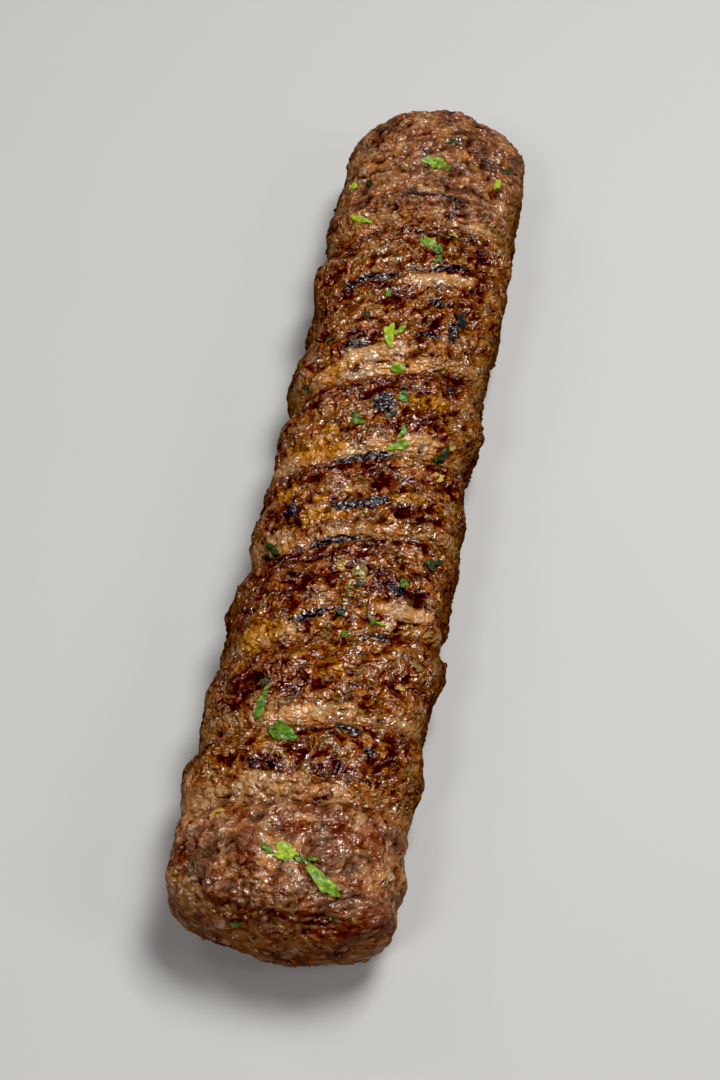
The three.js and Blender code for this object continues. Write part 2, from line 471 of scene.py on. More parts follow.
@dataclass
class Browning:
    """Where the log is charred, pale, glazed and pitted."""

    form: LogForm
    # Distances along the log, and how browned the crests are there.
    stations: tuple[float, ...] = (0, 12, 21, 30, 46, 66, 84, 104, 127, 146, 158, 170, 195)
    darkness: tuple[float, ...] = (
        0.40, 0.50, 0.55, 0.80, 0.85, 0.90, 0.88, 0.86, 0.84, 0.85, 0.80, 0.75, 0.75,
    )
    # Noise: what frays outlines, blotches, streaks along the grooves, the drift of the bands
    # and where they are thin.
    fray: tuple[Lump, ...] = (Lump(1.5, 0.6, 41), Lump(0.8, 0.4, 42))
    blotches: tuple[Lump, ...] = (Lump(6.0, 0.5, 43), Lump(2.4, 0.45, 44))
    streaks: Lump = Lump((6.5, 1.5, 6.5), 1.0, 45)
    drift: Lump = Lump(8.0, 1.0, 46)
    thinness: Lump = Lump(4.0, 1.0, 47)
    # By distance along the log.
    near_fade: Fade = Fade(18.0, 27.0, 1.0, 0.0)
    far_fade: Fade = Fade(148.0, 164.0)
    end_fray: float = 3.0
    far_calm: float = 0.65
    streaks_start: Fade = Fade(24.0, 44.0)
    streaks_end: Fade = Fade(134.0, 156.0, 1.0, 0.0)
    side_start: Fade = Fade(20.0, 38.0, 0.33, 1.0)
    # By level, from -1 at the underside to 1 at the top, and by how far a place faces up.
    side_fade: Fade = Fade(0.05, 0.72, 1.0, 0.0)
    under_fade: Fade = Fade(-0.55, -0.12, 0.5, 1.0)
    near_level: Fade = Fade(-0.1, 0.5)
    facing_fade: Fade = Fade(-0.1, 0.75)
    # By distance across, and by noise.
    leftward: Fade = Fade(2.0, 16.0, 1.0, 1.8)
    band_fade: Fade = Fade(-0.4, 0.3, 0.5, 1.0)
    done_fade: Fade = Fade(0.12, 0.85, 0.45, 1.0)
    lip_breaks: Fade = Fade(-0.5, 0.1)
    rim_breaks: Fade = Fade(-0.4, 0.3)
    # By distance beyond a groove.
    band_start: Fade = Fade(-0.15, 0.35)
    lip_start: Fade = Fade(-2.8, -1.2)
    lip_end: Fade = Fade(-0.1, 0.25, 1.0, 0.0)
    toast_start: Fade = Fade(-10.0, -2.0)
    # Half widths of what runs along a groove.
    line_width: float = 0.9
    crack_width: float = 0.35
    rim_width: float = 0.45
    # From where to where a pale band fades out, in its own widths.
    band_end: tuple[float, float] = (0.35, 1.15)
    # How far the fraying noise moves the edges of what runs along a groove, and the drift.
    band_fray: float = 1.4
    rim_fray: float = 1.1
    lip_fray: float = 0.8
    crack_fray: float = 0.2
    band_drift: float = 1.3
    toast_drift: float = 1.5
    # How done the meat is of itself, and what streaks and the lip of a groove add.
    doneness: float = 0.42
    streak_gain: float = 0.45
    toast_gain: float = 0.34
    # What crests and pale meat keep of their strength on faces that don't look up.
    crest_unlit: float = 0.45
    pale_unlit: float = 0.55
    # How much of the char pale meat hides, how deep cracks are beside pits, and how the noise
    # breaks up a charred lip and the edge of a boss.
    pale_cover: float = 0.8
    crack_share: float = 0.8
    char_fray: float = 0.5
    boss_fray: float = 1.5
    bosses: tuple[Mark, ...] = marks(
        (17, 7, 6, 5, -20), (-13.5, 12, 6.5, 5, 10), (-5, 12.5, 5, 5), (8.5, 13.5, 7, 5.5, 10),
        (-10, 4.5, 7, 4), (2, 5.5, 6, 4.5, -10),
    )
    soot: tuple[Mark, ...] = marks(
        (0, 92.6, 14, 2.6, 18), (0.7, 81.6, 10.8, 2.2, 21), (-2.8, 72.8, 13, 2.1, 17),
        (-7.6, 138.2, 15, 1.8, 17), (0, 140.9, 10, 1.5, 20), (7.6, 143.7, 12, 1.5, 22),
        (-7, 119.2, 6.5, 1.2, 16), (7, 124.6, 5.2, 1, 17), (-4.5, 56.2, 7.5, 0.9, 22),
        (3, 162, 10, 1, 6), (11.3, 127.5, 3.2, 4.6), (1, 105, 4.2, 4.6), (-12.5, 79, 3.2, 3),
        (9.8, 64.8, 4.8, 1.9, -20), (8.5, 54.5, 2.4, 1.5), (6.3, 35.3, 4.6, 2.1),
        (10.3, 32.2, 2, 1.8), (14, 114, 3.2, 1.6), (7, 133.3, 3.2, 1.3),
    )
    rust: tuple[Mark, ...] = marks(
        (-8.4, 17.2, 4.5, 2.2), (4, 19.4, 9, 1.6), (10, 16.6, 8, 3.4, -5), (15, 17.5, 3.4, 6),
        (-17.2, 9.6, 2.4, 3.4), (-5.4, 9.6, 4.2, 2.6, -20), (7.6, 13.2, 3, 2.4),
        (17.6, 6, 5, 4.4, -20), (1.5, 16.2, 5, 2.6, 10), (6.5, 2.6, 4, 1), (-9, 3.4, 3, 1),
    )
    burnt: tuple[Mark, ...] = marks(
        (-5.5, 26.5, 8.5, 3.4), (5.5, 27.5, 8, 3.4), (-12, 43.5, 5, 2.4), (-4, 43, 7, 4),
        (7, 44, 5, 2.6), (-5.5, 33.6, 10, 2.8, 12), (14, 56.6, 6, 2, 12), (8, 54.4, 8, 2, 17),
        (-17, 75, 6, 4, 20),
    )
    bare: tuple[Mark, ...] = marks(
        (-5.5, 23, 9, 4.4), (0.5, 37.8, 15, 2.8, 12), (13, 61.6, 11, 2.8, 12),
        (-3, 118, 15, 3.2, 17), (9.5, 98.8, 11, 3.2, 17), (13.5, 157.6, 6.5, 3.2),
        (6, 139.4, 12.5, 3.6, 22),
    )
    glaze: tuple[Mark, ...] = marks(
        (-13, 52.5, 10, 4.6, 20), (-9.4, 94.2, 11, 4.6, 15), (-6, 78, 9, 3.6, 20),
        (-14, 84, 5, 4, 30), (7, 93.2, 3.4, 2.2), (-8.1, 98.4, 3.2, 2.6), (-6.7, 81.3, 3.2, 2.3),
        (4, 116.8, 12, 2, 16), (-9, 115, 7, 2.2, 20), (9.5, 108.2, 9, 3, 17),
        (8.5, 84.5, 8, 2.6, 17),
    )
    pits: tuple[Mark, ...] = marks(
        (-12.2, 20.5, 2.8, 1.2, 20), (4, 22.2, 1.5, 1.2), (5.5, 23, 1.8, 1), (12.5, 22.3, 1.1, 1),
        (4.9, 38.9, 1.8, 0.9), (12.3, 39.3, 1.8, 0.9), (-17.2, 33.3, 3.1, 1.4),
        (12.3, 58, 2, 0.9, 15), (-6.9, 114.4, 2.4, 1.1, 45), (10.5, 97.7, 1.3, 0.9),
        (4, 117.2, 1.3, 0.9), (17.8, 118.6, 1.2, 1.2), (5.8, 157.8, 1.7, 1.2),
        (6.5, 138.3, 3, 0.8), (-10, 157, 1.5, 1),
    )

    def masks(self, along: Array, angle: Array, base: Array) -> dict[str, Array]:
        """Where each finish shows.

        Args:
            along: distances from the near end.
            angle: angles round the section from the top.
            base: the same places on the smooth log.

        Returns:
            Masks from 0 to 1, by name.
        """
        across = self.form.across_of(angle)
        fray, blotch = layered(base, *self.fray), layered(base, *self.blotches)
        streak = layered(self.form.squared_up(base), self.streaks)
        level = base[:, 2] / self.form.half_thickness
        near_end = self.near_fade.at(along + self.end_fray * fray)
        far_end = self.far_fade.at(along + self.end_fray * fray)
        middle = self.streaks_start.at(along) * self.streaks_end.at(along)
        facing = self.facing_fade.at(np.cos(angle))
        crest_lit, pale_lit = (
            unlit + (1.0 - unlit) * facing for unlit in (self.crest_unlit, self.pale_unlit)
        )
        bands = self._groove_bands(along, across, base, fray)
        rust, burnt, soot, bare, glaze, pits = (
            most_inside(kind, across, along, fray)
            for kind in (self.rust, self.burnt, self.soot, self.bare, self.glaze, self.pits)
        )
        pale = np.maximum(bands["pale"], bare)
        streaked = self.streak_gain * streak + self.toast_gain * bands["toast"]
        done = self.doneness + blotch + streaked * middle
        darkness = np.interp(along, self.stations, self.darkness)
        crest = darkness * self.done_fade.at(done) * crest_lit
        charred = bands["lip"] * facing * self.lip_breaks.at(streak + self.char_fray * fray)
        dark = np.maximum(np.maximum(crest, charred), burnt)
        side = self.side_fade.at(level) * self.side_start.at(along) * self.under_fade.at(level)
        return {
            "pale": pale * (1.0 - soot) * pale_lit,
            "burnt": dark * (1.0 - self.pale_cover * pale),
            "rust": rust,
            "soot": soot,
            "glaze": glaze * (1.0 - soot),
            # Pits and the cracks along the grooves: dents in the relief that the finish fills with
            # painted shade.
            "pit": np.maximum(pits, self.crack_share * bands["crack"] * facing),
            "rim": bands["rim"] * facing * self.rim_breaks.at(blotch),
            "line": bands["line"] * facing,
            "boss": most_inside(self.bosses, across, along, self.boss_fray * blotch),
            "side": side,
            "near": near_end * self.near_level.at(level),
            "calm": np.maximum(near_end, self.far_calm * far_end),
        }

    def _groove_bands(self, along: Array, across: Array, base: Array,
                      fray: Array) -> dict[str, Array]:
        """What the grooves carry along them: pale meat beyond, and burnt meat before.

        Args:
            along: distances from the near end.
            across: distances across the surface.
            base: the same places on the smooth log.
            fray: noise from -1 to 1 there.

        Returns:
            How strong each is, by name.
        """
        drift = layered(base, self.drift)
        drifted = self.band_drift * drift
        thick = self.band_fade.at(layered(base, self.thinness))
        start, end = self.band_end
        names = ("pale", "lip", "toast", "line", "crack", "rim")
        bands = dict(zip(names, np.zeros((len(names), len(along)))))
        for groove, far in zip(self.form.grooves, self.form.past_grooves(along, base[:, 0])):
            wide = groove.band * self.leftward.at(-across)
            faded = ramp(start * wide, end * wide, far + self.band_fray * fray + drifted)
            lip = self.lip_start.at(far + self.lip_fray * fray) * self.lip_end.at(far)
            toast = self.toast_start.at(far + self.toast_drift * drift) * (far < 0.0)
            crack = (far + self.crack_fray * fray) / self.crack_width
            rim = (far - wide + self.rim_fray * fray + drifted) / self.rim_width
            found = {
                "pale": groove.pale * (self.band_start.at(far) * (1.0 - faded) * thick),
                "lip": groove.char * lip,
                "toast": groove.char * toast,
                "line": groove.char * np.exp(-(far / self.line_width) ** 2),
                "crack": groove.char * np.exp(-crack**2),
                "rim": groove.pale * np.exp(-rim**2),
            }
            bands = {name: np.maximum(bands[name], found[name]) for name in names}
        return bands


@dataclass(frozen=True)
class Layer:
    """One layer of relief: its size on the top and on the sides, its height and its seed.

    calm is how many times its height it has at the log's ends.
    """

    top: Place
    side: Place
    height: float
    seed: float
    calm: float


@dataclass
class MinceRelief:
    """The grains and folds of mince that stand out of the coarse form."""

    form: LogForm
    grains: tuple[Layer, ...] = (
        Layer((4.4, 3.6, 4.0), (3.0, 7.5, 3.0), 0.34, 61, calm=1.00),
        Layer((2.1, 1.6, 1.9), (1.5, 4.0, 1.5), 0.44, 67, calm=1.05),
        Layer((1.4, 1.2, 1.3), (1.2, 1.8, 1.2), 0.15, 71, calm=2.00),
    )
    folds: tuple[Layer, ...] = (
        Layer((6.5, 2.2, 5.0), (3.0, 9.0, 3.0), 0.28, 91, calm=0.90),
        Layer((2.8, 1.3, 2.4), (1.6, 5.0, 1.6), 0.34, 92, calm=0.55),
        Layer((1.3, 1.0, 1.2), (0.9, 2.0, 0.9), 0.32, 93, calm=0.35),
    )
    # What pushes them about along each axis.
    warps: tuple[Lump, ...] = (Lump(2.4, 0.9, 80), Lump(2.4, 0.9, 81), Lump(2.4, 0.9, 82))
    # What is added to a layer's seed for the sides, for grains and for folds.
    grain_side_seed: float = 3
    fold_side_seed: float = 5
    # How much higher some grains stand than others, and the level that grains and folds are
    # measured from.
    grain_spread: float = 0.35
    grain_level: float = 0.50
    fold_level: float = 0.55
    # What is left of the relief on the sides, in the pale bands, in a groove's own line and
    # under a leaf.
    side_share: float = 0.82
    pale_share: float = 0.45
    line_share: float = 0.35
    covered_share: float = 0.25
    pit_depth: float = 1.1
    rim_height: float = 0.40
    boss_height: float = 0.55
    # From the height of a hollow to that of a crest, and how much of the rest pale meat opens.
    opening: Fade = Fade(-0.62, 0.45)
    pale_opening: float = 0.5

    def heights(self, base: Array, masks: dict[str, Array],
                covered: Array) -> tuple[Array, Array, Array]:
        """How far the grains raise the surface.

        Args:
            base: places on the smooth log.
            masks: the browning masks there.
            covered: from 0 to 1, where a leaf or bit lies on the meat and presses it flat.

        Returns:
            Heights, how open the surface is (0 in a hollow, 1 on a crest), and a random
            number that each grain has.
        """
        push = np.stack([layered(base, warp) for warp in self.warps], axis=1)
        warped = self.form.squared_up(base) + push
        side, calm, pale = masks["side"], masks["calm"], masks["pale"]
        height, tint = np.zeros((2, len(base)))
        for layer in self.grains:
            top, top_own = grain_noise(warped, layer.top, layer.seed)
            flank, flank_own = grain_noise(warped, layer.side, layer.seed + self.grain_side_seed)
            inside = top + (flank - top) * side
            own = top_own + (flank_own - top_own) * side
            stands = 1.0 - self.grain_spread + self.grain_spread * own
            rise = layer.height * (1.0 + (layer.calm - 1.0) * calm)
            height += rise * ((1.0 - (1.0 - inside) ** 2) * stands - self.grain_level)
            tint += own / len(self.grains)
        for layer in self.folds:
            top = lump_noise(warped, layer.top, layer.seed)
            flank = lump_noise(warped, layer.side, layer.seed + self.fold_side_seed)
            rise = layer.height * (1.0 + (layer.calm - 1.0) * calm)
            height += rise * (self.fold_level - 2.0 * np.abs(top + (flank - top) * side))
        openness = self.opening.at(height)
        for kept, where in ((self.side_share, side), (self.pale_share, pale),
                            (self.covered_share, covered), (self.line_share, masks["line"])):
            height = height * (1.0 - (1.0 - kept) * where)
        height += self.rim_height * masks["rim"] + self.boss_height * masks["boss"]
        height -= self.pit_depth * masks["pit"]
        return height, openness + (1.0 - openness) * self.pale_opening * pale, tint


class Tint(Enum):
    """The colours a scrap of herb has taken on the grill, from burnt to fresh."""

    BURNT = 0.0
    DARK = 0.3
    GREEN = 0.6
    BRIGHT = 0.8
    LIME = 1.0


@dataclass(frozen=True)
class Scrap(Mark):
    """A leaf scrap or a bit of onion, with its colour."""

    tint: Tint = Tint.GREEN


def scraps(*rows: tuple[float | Tint, ...]) -> tuple[Scrap, ...]:
    """Returns a scrap for each row: across, along, long, wide, turn and tint."""
    return tuple(Scrap(*row) for row in rows)


PARSLEY = scraps(
    (0.6, 11.3, 3.9, 2.5, 0, Tint.LIME), (-2.1, 11.1, 1.6, 1.5, 20, Tint.GREEN),
    (2.9, 10.6, 2.4, 0.9, -20, Tint.GREEN), (4.8, 11.2, 1.4, 1.1, 30, Tint.GREEN),
    (7.3, 8, 6.2, 2.7, -30, Tint.BRIGHT), (-12.2, 0.5, 3, 0.3, 0, Tint.GREEN),
    (-4, 32.7, 4.5, 4, -40, Tint.GREEN), (-8.6, 37.8, 6.6, 1.3, 87, Tint.GREEN),
    (-8.8, 42.3, 2, 0.9, 85, Tint.DARK), (-15.4, 71.7, 3.3, 1.9, -35, Tint.DARK),
    (-16.9, 70.5, 1.8, 1.3, 10, Tint.BURNT), (15.9, 73.5, 3.6, 2, 42, Tint.DARK),
    (17.4, 74.8, 1.9, 1.3, 10, Tint.DARK), (10.6, 66.5, 2.2, 1.5, 80, Tint.GREEN),
    (1.7, 62.7, 1, 0.8, 0, Tint.GREEN), (3.1, 63.6, 1.8, 1.1, 30, Tint.DARK),
    (2.1, 61, 1, 0.8, 0, Tint.GREEN), (1.2, 57.3, 1.5, 1.2, 0, Tint.DARK),
    (6.9, 57.3, 1.4, 1, 20, Tint.GREEN), (2.7, 53.8, 1.5, 1.2, 60, Tint.GREEN),
    (8.5, 57.4, 1.7, 0.6, 10, Tint.LIME), (-3.2, 100.2, 2.5, 2.2, 20, Tint.GREEN),
    (5.4, 99.4, 1.9, 1.4, 60, Tint.BRIGHT), (5.4, 96.7, 3.7, 2, 25, Tint.BRIGHT),
    (4.1, 107.1, 3, 2.1, -70, Tint.GREEN), (2.4, 102.2, 2, 1.2, 10, Tint.DARK),
    (15.6, 98.8, 3.1, 2.3, 70, Tint.DARK), (-0.8, 122.2, 5, 2.2, 88, Tint.LIME),
    (0.9, 123.4, 3, 1.5, 60, Tint.BRIGHT), (2.3, 115.9, 3, 2.4, 15, Tint.BRIGHT),
    (12.3, 131.1, 3.4, 3, 20, Tint.BURNT), (-2.9, 133.4, 1.6, 1.3, 0, Tint.GREEN),
    (-5.7, 127.1, 1.3, 1.1, 0, Tint.DARK), (-11.9, 121.1, 1.6, 1.3, 40, Tint.DARK),
    (-17.1, 110.9, 2.1, 1.6, 0, Tint.DARK), (2.6, 148.1, 3.5, 1.9, -32, Tint.BRIGHT),
    (4.7, 146.9, 2, 1.6, -50, Tint.GREEN), (5.4, 145.1, 1.7, 1, 80, Tint.GREEN),
    (4.6, 151.1, 1, 0.8, 0, Tint.GREEN), (7.1, 151.7, 1.5, 0.9, 0, Tint.LIME),
    (0.5, 172.6, 5.3, 2.5, 0, Tint.BRIGHT), (3.5, 171, 1.7, 1.2, 70, Tint.GREEN),
    (14.3, 171.5, 2.1, 1.8, 60, Tint.LIME), (15.8, 176.5, 2, 1.6, 30, Tint.DARK),
    (-12.8, 166.8, 1.7, 1.3, 0, Tint.DARK), (-16.7, 167.3, 2.1, 1.5, 20, Tint.LIME),
    (-11.9, 154.8, 3.5, 1.4, -25, Tint.LIME), (3.3, 178.4, 1.6, 1.3, 0, Tint.DARK),
    (6.9, 160.2, 1.1, 1, 0, Tint.BURNT),
)
ONION = scraps(
    (-12.2, 17.5, 1.9, 1.5, 20, Tint.BRIGHT), (2.7, 46.7, 2.1, 1.3, 10, Tint.BRIGHT),
    (14.6, 46.8, 1.2, 1, 0, Tint.BRIGHT), (16.9, 52.1, 2.5, 1.5, 30, Tint.DARK),
    (19, 68, 1.7, 1.2, 80, Tint.BRIGHT), (14.2, 92.5, 2.3, 1.8, 50, Tint.LIME),
    (-2, 83.8, 1.8, 1.3, 0, Tint.GREEN), (2.9, 66.5, 4, 2, 75, Tint.DARK),
    (-0.4, 66.7, 2, 1.6, 0, Tint.GREEN), (16.4, 101, 1.2, 1, 0, Tint.BRIGHT),
)


def piece_from(name: str, mesh: bmesh.types.BMesh) -> Piece:
    """Turns a bmesh into a smooth-shaded object at the origin.

    Args:
        name: the piece's name.
        mesh: the closed mesh, in metres, which is freed.

    Returns:
        The object, linked to the scene.
    """
    bmesh.ops.recalc_face_normals(mesh, faces=mesh.faces)
    data = bpy.data.meshes.new(name)
    mesh.to_mesh(data)
    mesh.free()
    data.polygons.foreach_set("use_smooth", np.ones(len(data.polygons), bool))
    piece = bpy.data.objects.new(name, data)
    bpy.context.scene.collection.objects.link(piece)
    return piece


def unit_ball(around: int, bands: int) -> tuple[Array, Array]:
    """A small ball of triangles, to be copied and shaped.

    Args:
        around: how many faces it has round its axis.
        bands: how many bands of faces it has from pole to pole.

    Returns:
        Its vertices on a sphere of radius 1, and the vertices of each face.
    """
    ball = bmesh.new()
    bmesh.ops.create_uvsphere(ball, u_segments=around, v_segments=bands, radius=1.0)
    bmesh.ops.triangulate(ball, faces=ball.faces)
    vertices = np.array([v.co for v in ball.verts], float)
    faces = np.array([[v.index for v in face.verts] for face in ball.faces])
    ball.free()
    return vertices, faces


def joined(name: str, places: Array, faces: Array) -> Piece:
    """Joins copies of one small shape into one piece.

    Args:
        name: the piece's name.
        places: the vertices of every copy in millimetres, shape (copies, vertices, 3).
        faces: the vertices of each face of one copy.

    Returns:
        The piece.
    """
    copies, each = places.shape[:2]
    every = faces + each * np.arange(copies)[:, None, None]
    data = bpy.data.meshes.new(name)
    data.from_pydata((places.reshape(-1, 3) * MM).tolist(), [], every.reshape(-1, 3).tolist())
    mesh = bmesh.new()
    mesh.from_mesh(data)
    bpy.data.meshes.remove(data)
    return piece_from(name, mesh)


def paint(piece: Piece, name: str, values: Array) -> None:
    """Stores one number for each vertex of a piece, for its material to read."""
    attribute = piece.data.attributes.new(name, "FLOAT", "POINT")
    attribute.data.foreach_set("value", np.asarray(values, np.float32))


@dataclass
class MinceLog:
    """The log of mince: one closed mesh with all its relief, and the masks of its finish."""

    form: LogForm
    browning: Browning
    relief: MinceRelief
    columns: int = 212
    rings: int = 464
    # The columns' spacing at the top, as a share of their mean spacing.
    top_spacing: float = 0.72
    # How far above the resting plane the meat starts to be pressed flat.
    base_softness: float = 0.5
    # How near to an end of the outline, as a share of it, a vertex is a pole.
    pole: float = 1e-6
    shift: Array = field(default_factory=lambda: np.zeros(3))

    def surface(self, along: Array, angle: Array) -> dict[str, Array]:
        """The finished surface.

        Args:
            along: distances from the near end.
            angle: angles round the section from the top.

        Returns:
            The masks by name, with the points themselves as "points" and the outward
            directions as "out".
        """
        base = self.form.smooth_points(along, angle)
        found = self.browning.masks(along, angle, base)
        covered = most_inside(PARSLEY + ONION, self.form.across_of(angle), along, 0.0 * along)
        grain, openness, tint = self.relief.heights(base, found, covered)
        height = self.form.groove_relief(along, base[:, 0], angle)
        height += layered(base, *self.form.lumps)
        out = self.form.outward(base)
        points = base + out * (height + grain)[:, None]
        points[:, 2] = self._rest(points[:, 2] + self.form.centre_height)
        return {**found, "open": openness, "tint": tint, "points": points + self.shift, "out": out}

    def _rest(self, height: Array) -> Array:
        """Presses all that would be under the resting plane up to it.

        Args:
            height: heights above the plane.

        Returns:
            The new heights.
        """
        soft = self.base_softness
        pressed = soft * np.exp(np.minimum(height, soft) / soft - 1.0)
        return np.where(height > soft, height, pressed)

    def build(self) -> Piece:
        """Builds the log.

        Returns:
            The piece, with its masks painted.
        """
        mesh = bmesh.new()
        bmesh.ops.create_uvsphere(mesh, u_segments=self.columns, v_segments=self.rings, radius=1.0)
        sphere = np.array([v.co for v in mesh.verts], float)
        turn = np.arctan2(sphere[:, 0], sphere[:, 1]) / math.pi
        turn *= self.top_spacing + (1.0 - self.top_spacing) * turn**2
        share = 1.0 - np.arccos(np.clip(sphere[:, 2], -1.0, 1.0)) / math.pi
        angle = self.form.angle_across(turn * self.form.half_girth)
        angle = np.where((share < self.pole) | (share > 1.0 - self.pole), 0.0, angle)
        place = self.form.ring_places(share)
        along = np.clip(place + self.form.ring_shift(place, angle), 0.0, self.form.length)
        found = self.surface(along, angle)
        low, high = found["points"].min(axis=0), found["points"].max(axis=0)
        self.shift = np.array([-(low[0] + high[0]) / 2, -(low[1] + high[1]) / 2, -low[2]])
        for vertex, point in zip(mesh.verts, (found["points"] + self.shift) * MM):
            vertex.co = point
        piece = piece_from("mince_log", mesh)
        for name in PAINTED:
            paint(piece, name, found[name])
        return piece


@dataclass
class Scraps:
    """Thin closed scraps that lie on the meat and follow it."""

    name: str
    meat: MinceLog
    scraps: tuple[Scrap, ...]
    thickness: float
    lift: float
    seed: int
    faces_around: int = 32
    bands: int = 20
    # The outline: its lobes, their depth, the least share of it one has, and how full it is.
    lobes: tuple[int, ...] = (2, 3, 5, 8, 12)
    raggedness: float = 0.36
    least_lobe: float = 0.4
    fullness: float = 0.7
    # The folds: their height, their pace along and across, and how far they may start.
    crumple: float = 0.16
    fold_pace: tuple[float, float] = (2.2, 3.1)
    fold_start: float = 6.0

    def build(self) -> Piece:
        """Builds all the scraps as one piece.

        Returns:
            The piece, with each scrap's tint painted.
        """
        ball, faces = unit_ball(self.faces_around, self.bands)
        rng = np.random.default_rng(self.seed)
        laid = [self._laid(scrap, ball, rng) for scrap in self.scraps]
        across, along, rise = np.concatenate(laid, axis=1)
        meat = self.meat.surface(along, self.meat.form.angle_across(across))
        points = meat["points"] + meat["out"] * rise[:, None]
        piece = joined(self.name, points.reshape(len(self.scraps), -1, 3), faces)
        paint(piece, "tint", np.repeat([scrap.tint.value for scrap in self.scraps], len(ball)))
        return piece

    def _laid(self, scrap: Scrap, ball: Array, rng: np.random.Generator) -> Array:
        """Where the vertices of one scrap lie on the log.

        Args:
            scrap: its place, size and turn.
            ball: the vertices of a unit sphere.
            rng: the source of its outline and creases.

        Returns:
            Distances across, distances along, and heights above the meat, shape (3, n).
        """
        around = np.arctan2(ball[:, 1], ball[:, 0])
        outline = np.ones(len(ball))
        for lobes in self.lobes:
            size = 2.0 * self.raggedness / lobes * rng.uniform(self.least_lobe, 1.0)
            outline += size * np.cos(lobes * around + rng.uniform(0.0, 2 * math.pi))
        reach = np.hypot(ball[:, 0], ball[:, 1]) ** self.fullness
        u = reach * outline * np.cos(around) * scrap.long / 2
        v = reach * outline * np.sin(around) * scrap.wide / 2
        turn = math.radians(scrap.turn)
        across = scrap.across + u * math.cos(turn) - v * math.sin(turn)
        along = scrap.along + u * math.sin(turn) + v * math.cos(turn)
        fold = self.crumple
        for pace, run in zip(self.fold_pace, (u, v)):
            fold = fold * np.cos(pace * run + rng.uniform(0, self.fold_start))
        face = np.sign(ball[:, 2]) * np.sqrt(np.abs(ball[:, 2]))
        return np.stack([across, along, self.lift + fold + self.thickness / 2 * face])


@dataclass
class Crumbs:
    """Small separate crumbs of mince, half sunk in the log."""

    meat: MinceLog
    count: int = 900
    faces_around: int = 8
    bands: int = 4
    smallest: float = 0.5
    largest: float = 1.7
    sunk: float = 0.22
    seed: int = 5
    # Where they lie, as shares of the log's outline and of its girth to each side.
    along_range: tuple[float, float] = (0.02, 0.98)
    around_range: tuple[float, float] = (-0.78, 0.78)
    # The lower it is, the more of them are small. How much smaller they are on pale meat.
    size_power: float = 0.45
    pale_shrink: float = 0.5
    # Half widths, half lengths and half heights, from and to, as shares of a crumb's size.
    least_stretch: Place = (0.35, 0.35, 0.28)
    most_stretch: Place = (0.65, 0.75, 0.48)
    # How far one tilts, in radians, how its vertices are dented, and how open the deepest is.
    tilt: float = 0.6
    dents: tuple[float, float] = (0.78, 1.15)
    least_open: float = 0.45

    def build(self) -> Piece:
        """Builds the crumbs as one piece.

        Returns:
            The piece, with the same masks as the log.
        """
        rng = np.random.default_rng(self.seed)
        form = self.meat.form
        place = form.ring_places(rng.uniform(*self.along_range, self.count))
        angle = form.angle_across(rng.uniform(*self.around_range, self.count) * form.half_girth)
        found = self.meat.surface(place, angle)
        reach = self.largest - self.smallest
        size = self.smallest + reach * rng.power(self.size_power, self.count)
        size *= 1.0 - self.pale_shrink * found["pale"]
        ball, faces = unit_ball(self.faces_around, self.bands)
        places = np.empty((self.count, len(ball), 3))
        for index in range(self.count):
            stretch = rng.uniform(self.least_stretch, self.most_stretch) * size[index]
            turned = np.array(Euler(rng.uniform(-self.tilt, self.tilt, 3)).to_matrix())
            dented = ball * rng.uniform(*self.dents, (len(ball), 1))
            centre = found["points"][index] - found["out"][index] * self.sunk * size[index]
            places[index] = (dented * stretch) @ turned.T + centre
        places[:, :, 2] = np.maximum(places[:, :, 2], 0.0)
        piece = joined("mince_crumbs", places, faces)
        found["open"] = self.least_open + (1.0 - self.least_open) * found["open"]
        for name in PAINTED:
            paint(piece, name, np.repeat(found[name], len(ball)))
        return piece


@dataclass(frozen=True)
class Noise:
    """Noise in a material, with features of a size in millimetres."""

    size: float
    detail: float = 3.0
    rough: float = 0.55


@dataclass(frozen=True)
class Patches(Noise):
    """Patches that fade in where noise is high."""

    fade: Fade = Fade(0.40, 0.60)


